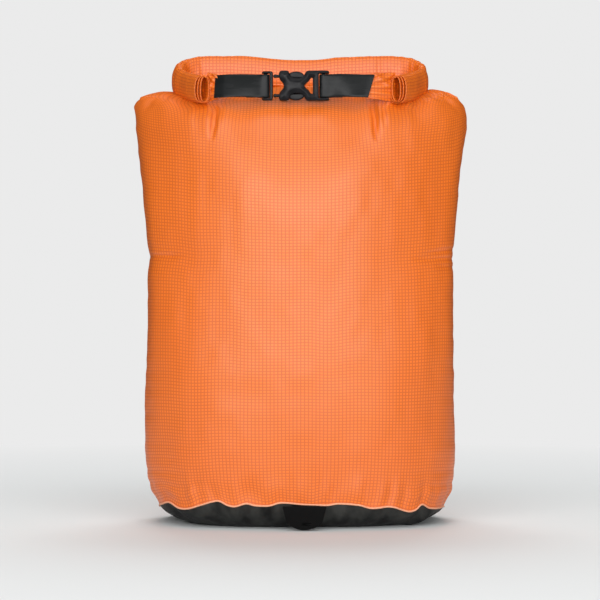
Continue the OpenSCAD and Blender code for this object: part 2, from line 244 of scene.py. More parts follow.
def start_grid():
    """The tube as it is before it is blown up, with its mouth pressed flat and straight."""
    grid = np.zeros((ROWS + 1, COLUMNS, 3))
    foot = resample(oval(*FOOT_SIZE), COLUMN_SHARE)
    foot_z = seam_height(foot)
    s = foot[:, 1] ** 2 / (foot**2).sum(1)
    top_z = 0.366 - 0.016 * s
    mouth = neck_ring(0.0)
    for i, t in enumerate(ROW_RUN):
        if t <= SHOULDER:
            z = foot_z + (top_z - foot_z) * t / SHOULDER
            level = z.mean()
            half_w = np.interp(level, *HALF_WIDTH.T)
            half_d = np.interp(level, *HALF_DEPTH.T)
            grid[i, :, :2] = resample(oval(half_w, half_d), COLUMN_SHARE) if i else foot
            grid[i, :, 2] = z
            shoulder = grid[i].copy()
        else:
            w = (t - SHOULDER) / (TUBE - SHOULDER)
            out = math.cos(w * math.pi / 2) ** 1.2
            grid[i, :, :2] = mouth[:, :2] + (shoulder[:, :2] - mouth[:, :2]) * out
            grid[i, :, 2] = shoulder[:, 2] + (mouth[:, 2] - shoulder[:, 2]) * math.sin(w * math.pi / 2)
    return grid


# where the side seam runs at the shoulder's corner: length up the seam, then X and Z
CORNER = table([[340, 149.5, 352], [352, 151.5, 364], [364, 152, 376], [372, 150, 383],
                [380, 144, 389], [390, 134, 391.5]])


def flat_tube():
    """The cloth's own size: a straight tube, longer at its sides by the slack."""
    stretch = 1 + EAR_SLACK / TUBE * abs(np.cos(COLUMN_ANGLE)) ** 4
    return np.stack(np.broadcast_arrays(
        GIRTH / 2 / math.pi * np.cos(COLUMN_ANGLE)[None, :],
        GIRTH / 2 / math.pi * np.sin(COLUMN_ANGLE)[None, :],
        ROW_RUN[:, None] * stretch[None, :]), 2)


def hold_corner(bent, held, sign, column_share):
    """Puts one shoulder's corner in its place, and holds it more firmly towards the side seam."""
    run = ((COLUMN_SHARE - column_share + 0.5) % 1 - 0.5) * GIRTH * sign
    near = abs(run) < CORNER_REACH
    k = (run / CORNER_REACH) ** 2
    for i in range(1, ROWS - 1):
        up = ROW_RUN[i] * (1 + EAR_SLACK / TUBE)
        if CORNER[0, 0] <= up <= CORNER[-1, 0]:
            x, z = (np.interp(up, CORNER[:, 0], CORNER[:, column]) for column in (1, 2))
            sag = 0.008 * k * ramp(up, 0.35, 0.38)
            bent[i, near] = np.stack([sign * (x - 0.010 * k), run * 0.95, z - sag], 1)[near]
            firm = CORNER_HOLD * (1 - abs(run) / CORNER_REACH) * (1 - ramp(up, 0.380, 0.392))
            held[i, near] = np.maximum(firm, 0)[near]


def bent_and_held(start):
    """Where the held points go while the mouth bends, and how firmly each point is held."""
    bent = start.copy()
    bent[-1] = neck_ring(1.0)
    bent[-2] = neck_ring(1.0, PIN_ROW)
    held = np.zeros((ROWS + 1, COLUMNS))
    hold_corner(bent, held, -1, 0.0)
    hold_corner(bent, held, 1, 0.5)
    level = start[:, :, 2]
    wall = (ROW_RUN[:, None] <= SHOULDER) & (level < 0.36)
    at_side = ramp(abs(np.cos(COLUMN_ANGLE)), 0.9, 1.0)[None, :]
    held = np.maximum(held, wall * SIDE_HOLD * at_side * ramp(level, 0.015, 0.04))
    held[0] = held[-2:] = 1
    return bent, held


def add_shape(bag, name, points):
    """A shape key with the given points."""
    key = bag.shape_key_add(name=name, from_mix=False)
    key.data.foreach_set("co", points.ravel())
    key.value = 0
    return key


def add_cloth(bag, flat):
    """Thin coated cloth with air inside, held where its group says, with flat as its own size."""
    modifier = bag.modifiers.new("cloth", "CLOTH")
    cloth = modifier.settings
    cloth.quality = 6
    cloth.mass = 0.1
    cloth.air_damping = 1
    cloth.tension_stiffness = 60
    cloth.compression_stiffness = 3
    cloth.shear_stiffness = 2
    cloth.bending_stiffness = 0.05
    cloth.tension_damping = 5
    cloth.compression_damping = 5
    cloth.shear_damping = 5
    cloth.vertex_group_mass = "held"
    cloth.pin_stiffness = 6
    cloth.rest_shape_key = flat
    cloth.use_pressure = True
    cloth.uniform_pressure_force = PRESSURE
    cloth.effector_weights.gravity = 0
    modifier.collision_settings.use_collision = False
    modifier.point_cache.frame_end = SIM_FRAMES


def inflate():
    """Cloth simulation: the tube is held at its base and its mouth, blown up and the mouth bent."""
    start = start_grid()
    bent, held = bent_and_held(start)
    bag = mesh_piece("bag_blown_up", start, wrap=True)
    bpy.context.view_layer.objects.active = bag
    bag.shape_key_add(name="start")
    flat = add_shape(bag, "flat", flat_tube())
    bending = add_shape(bag, "bent", bent)
    bending.keyframe_insert("value", frame=1)
    bending.value = 1
    bending.keyframe_insert("value", frame=SIM_FRAMES // 2)
    group = bag.vertex_groups.new(name="held")
    for k, weight in enumerate(held.ravel()):
        if weight > LIGHTEST_HOLD:
            group.add([k], float(weight), "REPLACE")
    add_cloth(bag, flat)
    for number in range(1, SIM_FRAMES + 1):
        bpy.context.scene.frame_set(number)
    shown = bag.evaluated_get(bpy.context.evaluated_depsgraph_get())
    out = np.empty(start.size, np.float32)
    shown.data.vertices.foreach_get("co", out)
    bpy.context.scene.frame_set(1)
    bpy.data.objects.remove(bag)
    return out.reshape(start.shape).astype(float)


blown = inflate()


# ---- from the simulation's grid to the fine one ----

FINER = 3


def finer_round(grid, factor):
    """More columns, by smooth curves through the ones there are. The grid wraps."""
    parts = [between(np.roll(grid, 1, 1), grid, np.roll(grid, -1, 1), np.roll(grid, -2, 1), k / factor)
             for k in range(factor)]
    return np.stack(parts, 2).reshape(grid.shape[0], -1, *grid.shape[2:])


def finer_up(grid, factor):
    """More rows, by smooth curves through the ones there are."""
    p = np.concatenate([2 * grid[:1] - grid[1:2], grid, 2 * grid[-1:] - grid[-2:-1]])
    parts = [between(p[:-3], p[1:-2], p[2:-1], p[3:], k / factor) for k in range(factor)]
    rows = np.stack(parts, 1).reshape(-1, *grid.shape[1:])
    return np.concatenate([rows, grid[-1:]])


def soft_noise(rows, cols, cells_up, cells_round):
    """Smooth noise from -1 to 1 on a grid of rows and columns that wraps."""
    coarse = random.uniform(-1, 1, (cells_up + 1, cells_round))
    up = np.linspace(0, cells_up, rows)
    around = np.arange(cols) / cols * cells_round
    i, j = np.minimum(up.astype(int), cells_up - 1), around.astype(int)
    a, b = smooth(up - i)[:, None], smooth(around - j)[None, :]
    j2 = (j + 1) % cells_round
    return ((coarse[i][:, j] * (1 - b) + coarse[i][:, j2] * b) * (1 - a)
            + (coarse[i + 1][:, j] * (1 - b) + coarse[i + 1][:, j2] * b) * a)


# the filled bag's outline from the front, at each height: the left edge's X and the right edge's
OUTLINE = table([
    [13, -129, 131], [23, -134.5, 136.5], [36, -139.3, 139.5], [60, -142, 141.2], [111, -141.7, 139.8],
    [170, -139.8, 139.8], [225, -139.2, 139.9], [241, -137.6, 139.4], [256, -139.8, 141],
    [288, -143.1, 143.6], [330, -147.2, 147.8], [364, -151.3, 152.6], [378, -151.5, 149.5],
    [384, -149.2, 146.5], [390, -142, 141],
])
MOST_DEPTH = 0.1035
NECK_ROWS = 14
FIT_ROUNDS = 6


def below_neck(grid):
    """1 below the neck, and down to 0 over the last rows, which stay inside the roll."""
    return 1 - ramp(np.arange(len(grid)), len(grid) - NECK_ROWS, len(grid) - 3)[:, None]


def fit_outline(grid):
    """Scales each level so that the widest points are on the outline, and the depth is held."""
    levels = np.linspace(0.014, 0.386, 90)
    low, high, front, back = [], [], [], []
    for z in levels:
        near = grid[abs(grid[:, :, 2] - z) < 0.003]
        low.append(near[:, 0].min())
        high.append(near[:, 0].max())
        front.append(-near[:, 1].min())
        back.append(near[:, 1].max())
    x, z = grid[:, :, 0], grid[:, :, 2]
    left_scale = np.interp(z, levels, evened(np.interp(levels, OUTLINE[:, 0], OUTLINE[:, 1]) / low, 2))
    right_scale = np.interp(z, levels, evened(np.interp(levels, OUTLINE[:, 0], OUTLINE[:, 2]) / high, 2))
    hold = 1 - ramp(z, 0.378, 0.388) * (1 - ramp(abs(x), 0.10, 0.125))
    scale = np.where(x < 0, left_scale, right_scale)
    hold = hold * below_neck(grid) * ramp(abs(x), 0.02, 0.12)
    grid[:, :, 0] *= 1 + (scale - 1) * hold
    over = np.maximum(front, back) / MOST_DEPTH
    shrink = np.interp(z, levels, evened(1 / np.maximum(over, 1), 2))
    grid[:, :, 1] *= shrink + (1 - shrink) * np.maximum(ramp(z, 0.35, 0.375), 1 - below_neck(grid))
    return grid


def relax(grid, share, times):
    """Evens out crumpled places: share is how far each point may go towards its neighbours' middle."""
    for _ in range(times):
        middle = grid.copy()
        middle[1:-1] = (np.roll(grid, 1, 1) + np.roll(grid, -1, 1))[1:-1] / 4 + (grid[2:] + grid[:-2]) / 4
        grid = grid + share[:, :, None] * (middle - grid)
    return grid


# the top of the shoulders from the front: how far out, and the height on the left and the right
EAR_TOP = table([
    [100, 388, 389], [106, 389.5, 391], [112, 391, 392.8], [120, 393, 395], [127, 391.8, 392.8],
    [134, 390.2, 390.6], [141, 387.6, 387.6], [146, 385.2, 384], [150, 382, 377],
])
EAR_BINS = np.linspace(0.100, 0.150, 18)


def fit_ears(grid):
    """Lifts the shoulders' corners to their height in the outline."""
    x, z = grid[:, :, 0], grid[:, :, 2].copy()
    for sign, column in ((-1, 1), (1, 2)):
        out = sign * x
        wall = z > 0.35
        wall[-NECK_ROWS:] = False
        tops = [z[(abs(out - at) < 0.0025) & wall].max(initial=0.382) for at in EAR_BINS]
        lift = np.interp(EAR_BINS, EAR_TOP[:, 0], EAR_TOP[:, column]) - tops
        move = np.interp(out, EAR_BINS, np.clip(evened(lift, 1), -0.008, 0.012))
        move *= ramp(out, 0.097, 0.106) * (1 - ramp(out, 0.140, 0.147))
        z += move * ramp(z, 0.350, np.maximum(np.interp(out, EAR_BINS, tops), 0.37)) * below_neck(grid)
    grid[:, :, 2] = z
    return grid


def even_out(grid):
    """Smooths the wall, most at the foot and the shoulders, and leaves the foot and the mouth in place."""
    z, out = grid[:, :, 2], abs(grid[:, :, 0])
    free = below_neck(grid)
    free[0] = 0
    foot = 1 - ramp(z, 0.10, 0.17)
    ears = ramp(z, 0.335, 0.355) * ramp(out, 0.094, 0.108)
    front = ramp(z, 0.29, 0.33) * ramp(-grid[:, :, 1], 0.02, 0.05) * (1 - ramp(out, 0.08, 0.1))
    grid = relax(grid, free * (1 - ramp(z, 0.36, 0.37)) * 0.9, 30)
    grid = relax(grid, free * foot * 0.9, 120)
    grid = relax(grid, free * ears * 0.95, 110)
    return relax(grid, free * front * 0.8, 60)


def swell_front(grid):
    """Fills the cloth out under the strap, where the sheet's coarse start leaves it too slack."""
    x, y, z = np.moveaxis(grid, 2, 0)
    swell = hump(z, 0.371, 0.019) * (1 - ramp(abs(x), 0.066, 0.092)) * ramp(-y, 0.02, 0.045)
    grid[:, :, 1] -= 0.009 * swell
    return grid


def fit_shape(grid):
    """Evens out the simulated cloth and brings it to the filled bag's outline, ears included."""
    grid = fit_outline(swell_front(even_out(grid)))
    for _ in range(FIT_ROUNDS):
        grid = fit_outline(fit_ears(grid))
        near_ear = ramp(grid[:, :, 2], 0.345, 0.362) * ramp(abs(grid[:, :, 0]), 0.096, 0.108)
        grid = relax(grid, near_ear * below_neck(grid) * 0.95, 12)
    return fit_outline(grid)


shell = fit_shape(finer_up(finer_round(blown, FINER), FINER))
rows, cols = shell.shape[:2]
half = cols // 2
flat_x = np.arange(cols + 1) / cols * GIRTH
flat_z = np.arange(rows) / (rows - 1) * TUBE


# the base seam's height from the front: across, then up
SEAM = table([
    [-132, 15.5], [-126, 17.2], [-117.6, 20.9], [-108, 16.8], [-98.6, 17.1], [-87, 21.1],
    [-73, 25], [-64.4, 21.5], [-57.4, 20.5], [-47.7, 23.1], [-39.8, 21.5], [-27.6, 21.5],
    [-17.1, 24.2], [0, 22.9], [22.3, 22], [33.7, 23.3], [50.4, 22], [62.6, 18.8],
    [79.2, 19.7], [94.6, 14.9], [102, 16], [108, 20.2], [115, 16.1], [130, 14.5],
])
SEAM_FADE = 0.02


def fit_seam(grid):
    """Puckers the front of the base seam, with the cloth above it going along."""
    curve = curve_through(SEAM, 8)
    foot = grid[0]
    move = (np.interp(foot[:, 0], curve[:, 0], curve[:, 1]) - foot[:, 2]) * ramp(-foot[:, 1], -0.01, 0.03)
    grid[:, :, 2] += move[None, :] * hump(flat_z, 0, SEAM_FADE)[:, None]
    return grid


def press(grid, depth):
    """Moves each point inwards along its normal by the depth given."""
    return grid - grid_normals(grid, True) * depth[:, :, None]


def crease(grid, x0, z0, x1, z1, width, depth, taper=0.0):
    """A valley in the front from one place to another, given as X and Z, fading at both ends."""
    p = grid[:, :, [0, 2]]
    a, b = np.array([x0, z0]), np.array([x1, z1])
    t = ((p - a) @ (b - a)) / ((b - a) @ (b - a))
    off = np.linalg.norm(p - (a + np.clip(t, 0, 1)[:, :, None] * (b - a)), axis=2)
    side = ramp(-grid[:, :, 1], -0.02, 0.01)
    narrowed = width * (1 - taper * np.clip(t, 0, 1))
    return depth * hump(off, 0, narrowed) * ramp(t, -0.15, 0.3) * (1 - ramp(t, 0.6, 1.15)) * side


def add_wrinkles(grid):
    """Small folds that the simulation's grid is too coarse for: all over, at the seams and at the foot."""
    depth = 0.0006 * soft_noise(rows, cols, 9, 26) + 0.0003 * soft_noise(rows, cols, 26, 70)
    depth *= ramp(flat_z, 0, 0.02)[:, None]
    gather = soft_noise(rows, cols, 6, 104)
    depth += 0.0013 * gather * hump(flat_z, 0.012, 0.013)[:, None]
    past_seam = flat_x[:-1] % (GIRTH / 2)
    from_seam = np.minimum(past_seam, GIRTH / 2 - past_seam)
    beside_seam = ramp(flat_z, 0.05, 0.10) * (1 - ramp(flat_z, 0.34, 0.38))
    pucker = soft_noise(rows, cols, 64, 14) * beside_seam[:, None]
    depth += 0.0005 * pucker * hump(from_seam, 0, 0.045)[None, :]
    return press(grid, depth)


# creases in the front: from X and Z to X and Z, width, depth, and how much narrower the far end is
CREASES = (
    # across the sides, half way up
    (-0.140, 0.241, -0.104, 0.2405, 0.0022, 0.0016),
    (0.142, 0.248, 0.108, 0.2415, 0.002, 0.0014),
    (0.142, 0.2385, 0.100, 0.238, 0.0022, 0.0016),
    (0.142, 0.231, 0.118, 0.232, 0.002, 0.001),
    # down from the straps' ends
    (-0.0755, 0.382, -0.0785, 0.344, 0.0045, 0.0055, 0.6),
    (0.0635, 0.382, 0.067, 0.343, 0.0045, 0.0055, 0.6),
    (-0.069, 0.384, -0.071, 0.356, 0.0024, 0.0022, 0.5),
    (0.0725, 0.384, 0.0745, 0.354, 0.0026, 0.0026, 0.5),
    # over the shoulders' ears
    (-0.112, 0.389, -0.131, 0.379, 0.0032, 0.0016),
    (-0.126, 0.390, -0.142, 0.371, 0.0030, 0.0012),
    (0.112, 0.390, 0.134, 0.379, 0.0032, 0.0018),
    (0.121, 0.393, 0.143, 0.372, 0.0030, 0.0014),
    (0.130, 0.391, 0.148, 0.381, 0.0026, 0.0012),
    # under the buckle
    (-0.011, 0.383, -0.0105, 0.362, 0.002, 0.0008),
    (0.005, 0.383, 0.0052, 0.360, 0.002, 0.0008),
)

shell = add_wrinkles(fit_seam(shell))
for line in CREASES:
    shell = press(shell, crease(shell, *line))


# ---- materials ----


def add_node(tree, kind, inputs=None, **settings):
    """A shader node with its inputs given as values or as other nodes' outputs."""
    made = tree.nodes.new(kind)
    for name, value in settings.items():
        setattr(made, name, value)
    for name, value in (inputs or {}).items():
        if isinstance(value, bpy.types.NodeSocket):
            tree.links.new(value, made.inputs[name])
        else:
            made.inputs[name].default_value = value
    return made


class Surface:
    """A Principled material, with short calls for the patterns that the cloths share."""

    def __init__(self, name, color, roughness, **values):
        self.material = bpy.data.materials.new(name)
        self.material.use_nodes = True
        self.tree = self.material.node_tree
        self.shader = self.tree.nodes["Principled BSDF"]
        self.shader.inputs["Base Color"].default_value = (*color, 1)
        self.shader.inputs["Roughness"].default_value = roughness
        for key, value in values.items():
            self.shader.inputs[key.replace("_", " ")].default_value = value

    def math(self, operation, a, b=0.0):
        """One arithmetic step."""
        return add_node(self.tree, "ShaderNodeMath", {0: a, 1: b}, operation=operation).outputs[0]

    def place(self, source):
        """Where a point is: on the flat cloth with UV, in the frame with Object."""
        return add_node(self.tree, "ShaderNodeTexCoord").outputs[source]

    def stretched(self, vector, scale):
        """Coordinates scaled along each axis."""
        return add_node(self.tree, "ShaderNodeMapping", {"Vector": vector, "Scale": scale}).outputs[0]

    def across_and_up(self):
        """The two coordinates on the flat cloth, in metres."""
        return add_node(self.tree, "ShaderNodeSeparateXYZ", {0: self.place("UV")}).outputs[:2]

    def noise(self, vector, scale, detail=2.0, roughness=0.5):
        return add_node(self.tree, "ShaderNodeTexNoise", {
            "Vector": vector, "Scale": scale, "Detail": detail, "Roughness": roughness}).outputs[0]

    def remap(self, value, low, high, to_low=0.0, to_high=1.0):
        return add_node(self.tree, "ShaderNodeMapRange", {
            "Value": value, "From Min": low, "From Max": high, "To Min": to_low, "To Max": to_high,
        }).outputs[0]

    def lines(self, coordinate, pitch, share):
        """1 on thin lines a pitch apart, 0 between them."""
        cell = self.math("FRACT", self.math("DIVIDE", coordinate, pitch))
        off = self.math("ABSOLUTE", self.math("SUBTRACT", cell, 0.5))
        return self.remap(off, share * 0.5, share * 0.25, 0.0, 1.0)

    def mix(self, factor, a, b):
        """A colour between two, each a colour or another node's output."""
        made = add_node(self.tree, "ShaderNodeMix", {0: factor}, data_type="RGBA")
        for slot, value in ((6, a), (7, b)):
            if isinstance(value, bpy.types.NodeSocket):
                self.tree.links.new(value, made.inputs[slot])
            else:
                made.inputs[slot].default_value = (*value, 1)
        return made.outputs[2]

    def paint(self, color):
        """Colours the surface by a node's output."""
        self.tree.links.new(color, self.shader.inputs["Base Color"])

    def rough(self, value):
        """Roughens the surface by a node's output."""
        self.tree.links.new(value, self.shader.inputs["Roughness"])

    def relief(self, height, distance, strength=1.0):
        """Raises the surface by a node's output, over a distance in metres."""
        bump = add_node(self.tree, "ShaderNodeBump",
                        {"Height": height, "Distance": distance, "Strength": strength})
        self.tree.links.new(bump.outputs[0], self.shader.inputs["Normal"])


RIPSTOP_PITCH = (0.0033, 0.0029)  # across and up
RIPSTOP_LINE = 0.42  # share of the pitch that a line takes
WEAVE_PITCH = 0.0008
RIB_PITCH = 0.0012


def ripstop(name):
    """Thin coated cloth with a grid of thicker threads, darker than the rest."""
    s = Surface(name, (0.9, 0.16, 0.002), 0.45, IOR=1.5, Specular_IOR_Level=0.8)
    across, up = s.across_and_up()
    grid = s.math("MAXIMUM", s.lines(across, RIPSTOP_PITCH[0], RIPSTOP_LINE),
                  s.lines(up, RIPSTOP_PITCH[1], RIPSTOP_LINE))
    cloudy = s.noise(s.place("Object"), 16, 3)
    base = s.mix(cloudy, (0.84, 0.180, 0.002), (0.78, 0.154, 0.001))
    s.paint(s.mix(s.math("MULTIPLY", grid, 0.72), base, (0.53, 0.074, 0.001)))
    weave = s.noise(s.place("UV"), 2400, 1)
    height = s.math("ADD", s.math("MULTIPLY", grid, -0.6), s.math("MULTIPLY", weave, 0.5))
    s.rough(s.remap(grid, 0, 1, 0.44, 0.54))
    s.relief(height, 0.00012, 0.6)
    return s.material


def base_fabric(name):
    """Dark plain-woven cloth, with paler upright patches painted in as sheen on its folds."""
    s = Surface(name, (0.018, 0.018, 0.017), 0.5, IOR=1.5, Specular_IOR_Level=0.12)
    across, up = s.across_and_up()
    weave = s.math("ADD", s.lines(across, WEAVE_PITCH, 0.9), s.lines(up, WEAVE_PITCH, 0.9))
    sheen_patches = s.noise(s.stretched(s.place("Object"), (1, 1, 0.3)), 62, 3)
    # painted sheen: paler upright patches on the dark cloth, which are also made rougher
    s.paint(s.mix(s.remap(sheen_patches, 0.36, 0.66), (0.008, 0.008, 0.008), (0.044, 0.045, 0.042)))
    s.rough(s.remap(sheen_patches, 0.3, 0.7, 0.42, 0.6))
    s.relief(weave, 0.00008, 0.5)
    return s.material


def binding_fabric(name):
    """Pale ribbed tape."""
    s = Surface(name, (0.82, 0.36, 0.20), 0.6)
    ribs = s.lines(s.across_and_up()[0], RIB_PITCH, 0.8)
    s.paint(s.mix(ribs, (0.72, 0.27, 0.13), (0.90, 0.46, 0.29)))
    s.relief(ribs, 0.0002, 0.7)
    return s.material


def strap_rubber(name):
    """Smooth coated webbing, smeared along its length."""
    s = Surface(name, (0.016, 0.017, 0.018), 0.30, IOR=1.5, Specular_IOR_Level=0.12)
    where = s.place("Object")
    grain = s.noise(where, 1700, 2)
    smears = s.noise(s.stretched(where, (0.4, 1, 2)), 60, 3)
    s.paint(s.mix(smears, (0.007, 0.008, 0.008), (0.017, 0.018, 0.019)))
    s.rough(s.remap(smears, 0.3, 0.7, 0.24, 0.33))
    s.relief(grain, 0.00006, 0.5)
    return s.material


def moulded_plastic(name, color=(0.0045, 0.0045, 0.0055), roughness=0.30):
    """Fine-grained hard plastic with light scuffs."""
    s = Surface(name, color, roughness, IOR=1.5, Specular_IOR_Level=0.16)
    where = s.place("Object")
    grain = s.noise(where, 2600, 2)
    scuffs = s.noise(where, 160, 4)
    light = tuple(c * 1.9 for c in color)
    s.paint(s.mix(s.remap(scuffs, 0.45, 0.7), color, light))
    s.rough(s.remap(scuffs, 0.3, 0.75, roughness - 0.05, roughness + 0.13))
    s.relief(grain, 0.00005, 0.5)
    return s.material


def tab_rubber(name):
    """Matt, coarse-grained rubber."""
    s = Surface(name, (0.006, 0.006, 0.006), 0.42, Specular_IOR_Level=0.04)
    where = s.place("Object")
    grain = s.noise(where, 900, 3)
    s.paint(s.mix(grain, (0.002, 0.002, 0.002), (0.006, 0.006, 0.006)))
    s.rough(s.remap(s.noise(where, 80, 3), 0.3, 0.7, 0.34, 0.52))
    s.relief(grain, 0.0001, 0.6)
    return s.material


def thread_fibre(name, color):
    """Twisted sewing thread."""
    s = Surface(name, color, 0.55)
    where = s.place("Object")
    twist = s.noise(s.stretched(where, (1, 1, 3)), 1800, 2)
    s.paint(s.mix(twist, tuple(c * 0.7 for c in color), tuple(c * 1.5 for c in color)))
    s.relief(twist, 0.0001, 0.8)
    return s.material


def tape_film(name, color):
    """Translucent-looking sealing tape, cloudy from its glue."""
    s = Surface(name, color, 0.35)
    where = s.place("Object")
    cloudy = s.noise(where, 120, 3)
    s.paint(s.mix(cloudy, tuple(c * 0.85 for c in color), color))
    s.relief(cloudy, 0.0001, 0.5)
    return s.material


LOOKS = {
    "orange_ripstop": ripstop("orange_ripstop"),
    "base_cloth": base_fabric("base_cloth"),
    "seam_binding": binding_fabric("seam_binding"),
    "seam_tape": tape_film("seam_tape", (0.27, 0.28, 0.30)),
    "stiffener": moulded_plastic("stiffener", (0.42, 0.075, 0.002), 0.5),
    "strap_black": strap_rubber("strap_black"),
    "buckle_black": moulded_plastic("buckle_black"),
    "tab_black": tab_rubber("tab_black"),
    "thread": thread_fibre("thread", (0.03, 0.03, 0.032)),
}


def add_piece(name, grid, uv, look, body, replaced=(), wrap=False, flip=False):
    """A piece that rides on a body, with one of the looks, in place of CAD nodes."""
    piece = mesh_piece(name, grid, uv, wrap, LOOKS[look])
    if flip:
        piece.data.flip_normals()
    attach(piece, body)
    if replaced:
        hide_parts(*replaced)
    return piece


def thicken(piece, thickness):
    """Gives a sheet its thickness, half to each side."""
    thick = piece.modifiers.new("thick", "SOLIDIFY")
    thick.thickness = thickness
    thick.offset = 0


# ---- the two panels ----

shell_uv = np.stack(np.meshgrid(flat_x, flat_z), 2)


def make_panels():
    """The shell cut along its side seams into the front and the back cloth."""
    closed = np.concatenate([shell, shell[:, :1]], 1)
    for name, columns, node in (
        ("front_cloth", slice(0, half + 1), "front_panel"),
        ("back_cloth", slice(half, cols + 1), "back_panel"),
    ):
        panel = add_piece(name, closed[:, columns], shell_uv[:, columns], "orange_ripstop", "bag", [node])


make_panels()


# ---- base ----

BASE_ROWS = 26
FLOOR_ROWS = 8
REST_SIZE = (0.100, 0.062)  # half width and half depth of the oval that the bag rests on
KINK_ANGLE = math.radians(-25)


def base_wall(rim):
    """The base from its seam down to the oval that it rests on, with its folds and one sharp kink."""
    a = np.arctan2(rim[:, 1], rim[:, 0])
    rest = resample(oval(*REST_SIZE), np.arange(cols) / cols)
    t = np.linspace(0, 1, BASE_ROWS)[:, None]
    out = np.cos(t * math.pi / 2) ** (4 / 3)
    up = 1 - np.sin(t * math.pi / 2) ** (4 / 3)
    out[-1] = up[-1] = 0
    grid = np.zeros((BASE_ROWS, cols, 3))
    grid[:, :, :2] = rest[None] + (rim[None, :, :2] - rest[None]) * out[:, :, None]
    grid[:, :, 2] = rim[None, :, 2] * up
    fold = soft_noise(BASE_ROWS, cols, 3, 44) * 0.0013 + soft_noise(BASE_ROWS, cols, 3, 96) * 0.0008
    fold *= np.sin(np.pi * np.clip(t * 1.1 + 0.03, 0, 1)) ** 0.7
    kink = 0.003 * hump(a, KINK_ANGLE, 0.035)[None, :] * np.sin(np.pi * t)
    grid += grid_normals(grid, True) * (fold - kink)[:, :, None]
    grid[:, :, 2] = np.maximum(grid[:, :, 2], 0)
    return grid


def make_base():
    """The base cup, closed by its slightly raised middle."""
    wall = base_wall(shell[0])
    middle = wall[-1, :, :2].mean(0)
    shrink = np.linspace(1, 0, FLOOR_ROWS + 1)[1:, None, None]
    floor_rings = np.concatenate([
        middle + (wall[-1:, :, :2] - middle) * np.maximum(shrink, 0.002),
        np.broadcast_to(0.0012 * (1 - shrink), (FLOOR_ROWS, cols, 1))], 2)
    grid = np.concatenate([wall, floor_rings])
    uv = np.stack(np.meshgrid(np.arange(cols + 1) / cols * GIRTH * 0.92, lengths_along(grid[:, 0])), 2)
    add_piece("base_cup", grid, uv, "base_cloth", "bag", ["base_panel"], wrap=True, flip=True)


make_base()


# ---- swept tubes and bands ----


def sweep(centre, side, up, section):
    """A grid of points: each section point (side, up) at each point of the centre line."""
    return centre[:, None] + side[:, None] * section[None, :, :1] + up[:, None] * section[None, :, 1:]


def swept_uv(path, around, girth):
    """UVs for a swept tube: along the path, then round it."""
    run = lengths_along(path)
    return np.stack(np.meshgrid(np.linspace(0, girth, around + 1), run), 2)[:, :, ::-1]


BINDING_SIDES = 10


def make_binding():
    """The bound raw edge that lies along the seam between the panels and the base."""
    rim = shell[0]
    along = np.roll(rim, -1, 0) - np.roll(rim, 1, 0)
    out = unit(np.stack([along[:, 1], -along[:, 0], 0 * along[:, 0]], 1))
    up = np.zeros_like(out)
    up[:, 2] = 1
    k = np.linspace(0, 2 * math.pi, BINDING_SIDES + 1)[:-1]
    section = np.stack([0.00095 * np.cos(k) + 0.0002, 0.0008 * np.sin(k) - 0.0002], 1)
    grid = sweep(rim, out, up, section)
    grid = np.concatenate([grid, grid[:1]])
    uv = swept_uv(grid[:, 0], BINDING_SIDES, 0.005)
    add_piece("seam_binding", grid, uv, "seam_binding", "bag", ["base_seam_binding"], wrap=True)


make_binding()

TAPE_ENDS = (0.03, 0.30)  # up the tube
TAPE_REACH = 5  # columns on both sides of the seam
TAPE_INSET = 0.0011
BASE_TAPE_ROWS = slice(2, 9)
ANCHOR_ROWS = slice(1, 10)
ANCHOR_REACH = 10


def make_tapes():
    """Sealing tapes and the tab's sewn end, just inside the shell."""
    inward = grid_normals(shell, True)
    inner = shell - inward * TAPE_INSET
    low, high = (int(end / TUBE * rows) for end in TAPE_ENDS)
    for side, column in (("left", 0), ("right", half)):
        columns = (np.arange(-TAPE_REACH, TAPE_REACH + 1) + column) % cols
        uv = shell_uv[low:high][:, : 2 * TAPE_REACH + 1]
        add_piece("side_tape_" + side, inner[low:high][:, columns], uv, "seam_tape", "bag",
                  ["side_seam_tape_" + side])
    add_piece("base_tape", inner[BASE_TAPE_ROWS], shell_uv[BASE_TAPE_ROWS], "seam_tape", "bag",
              ["base_seam_tape"], wrap=True)
    deeper = shell - inward * 2 * TAPE_INSET
    columns = np.arange(-ANCHOR_REACH, ANCHOR_REACH + 1) + int(np.argmin(shell[0, :, 1]))
    add_piece("tab_anchor", deeper[ANCHOR_ROWS][:, columns],
              shell_uv[ANCHOR_ROWS][:, : 2 * ANCHOR_REACH + 1], "tab_black", "bag", ["lash_tab_anchor"])


make_tapes()


# ---- the roll ----

ROLL_TURNS = 2.7
ROLL_STATIONS = 200
ROLL_STEPS = 36  # points in a turn
ROLL_END = 0.055  # length over which each end widens
ROLL_CLOTH = 0.0004
HEM_RADIUS = 0.00032
HEM_SIDES = 6
ROLL_CREASES = ((-0.091, 0.0014), (-0.086, 0.0007), (0.072, 0.0014), (0.079, 0.0007))  # X and depth


def roll_frame():
    """The roll's line with its outward and forward directions, and how near each point is to an end."""
    length = lengths_along(ROLL_LINE)[-1]
    s = np.linspace(0, 1, ROLL_STATIONS)
    line = resample(ROLL_LINE, s)
    along = unit(np.gradient(line, axis=0))
    out = unit(np.stack([-along[:, 1], along[:, 0], 0 * s], 1))
    end = 1 - ramp(np.minimum(s, 1 - s) * length, 0.0, ROLL_END)
    return length, s, line, along, out, end


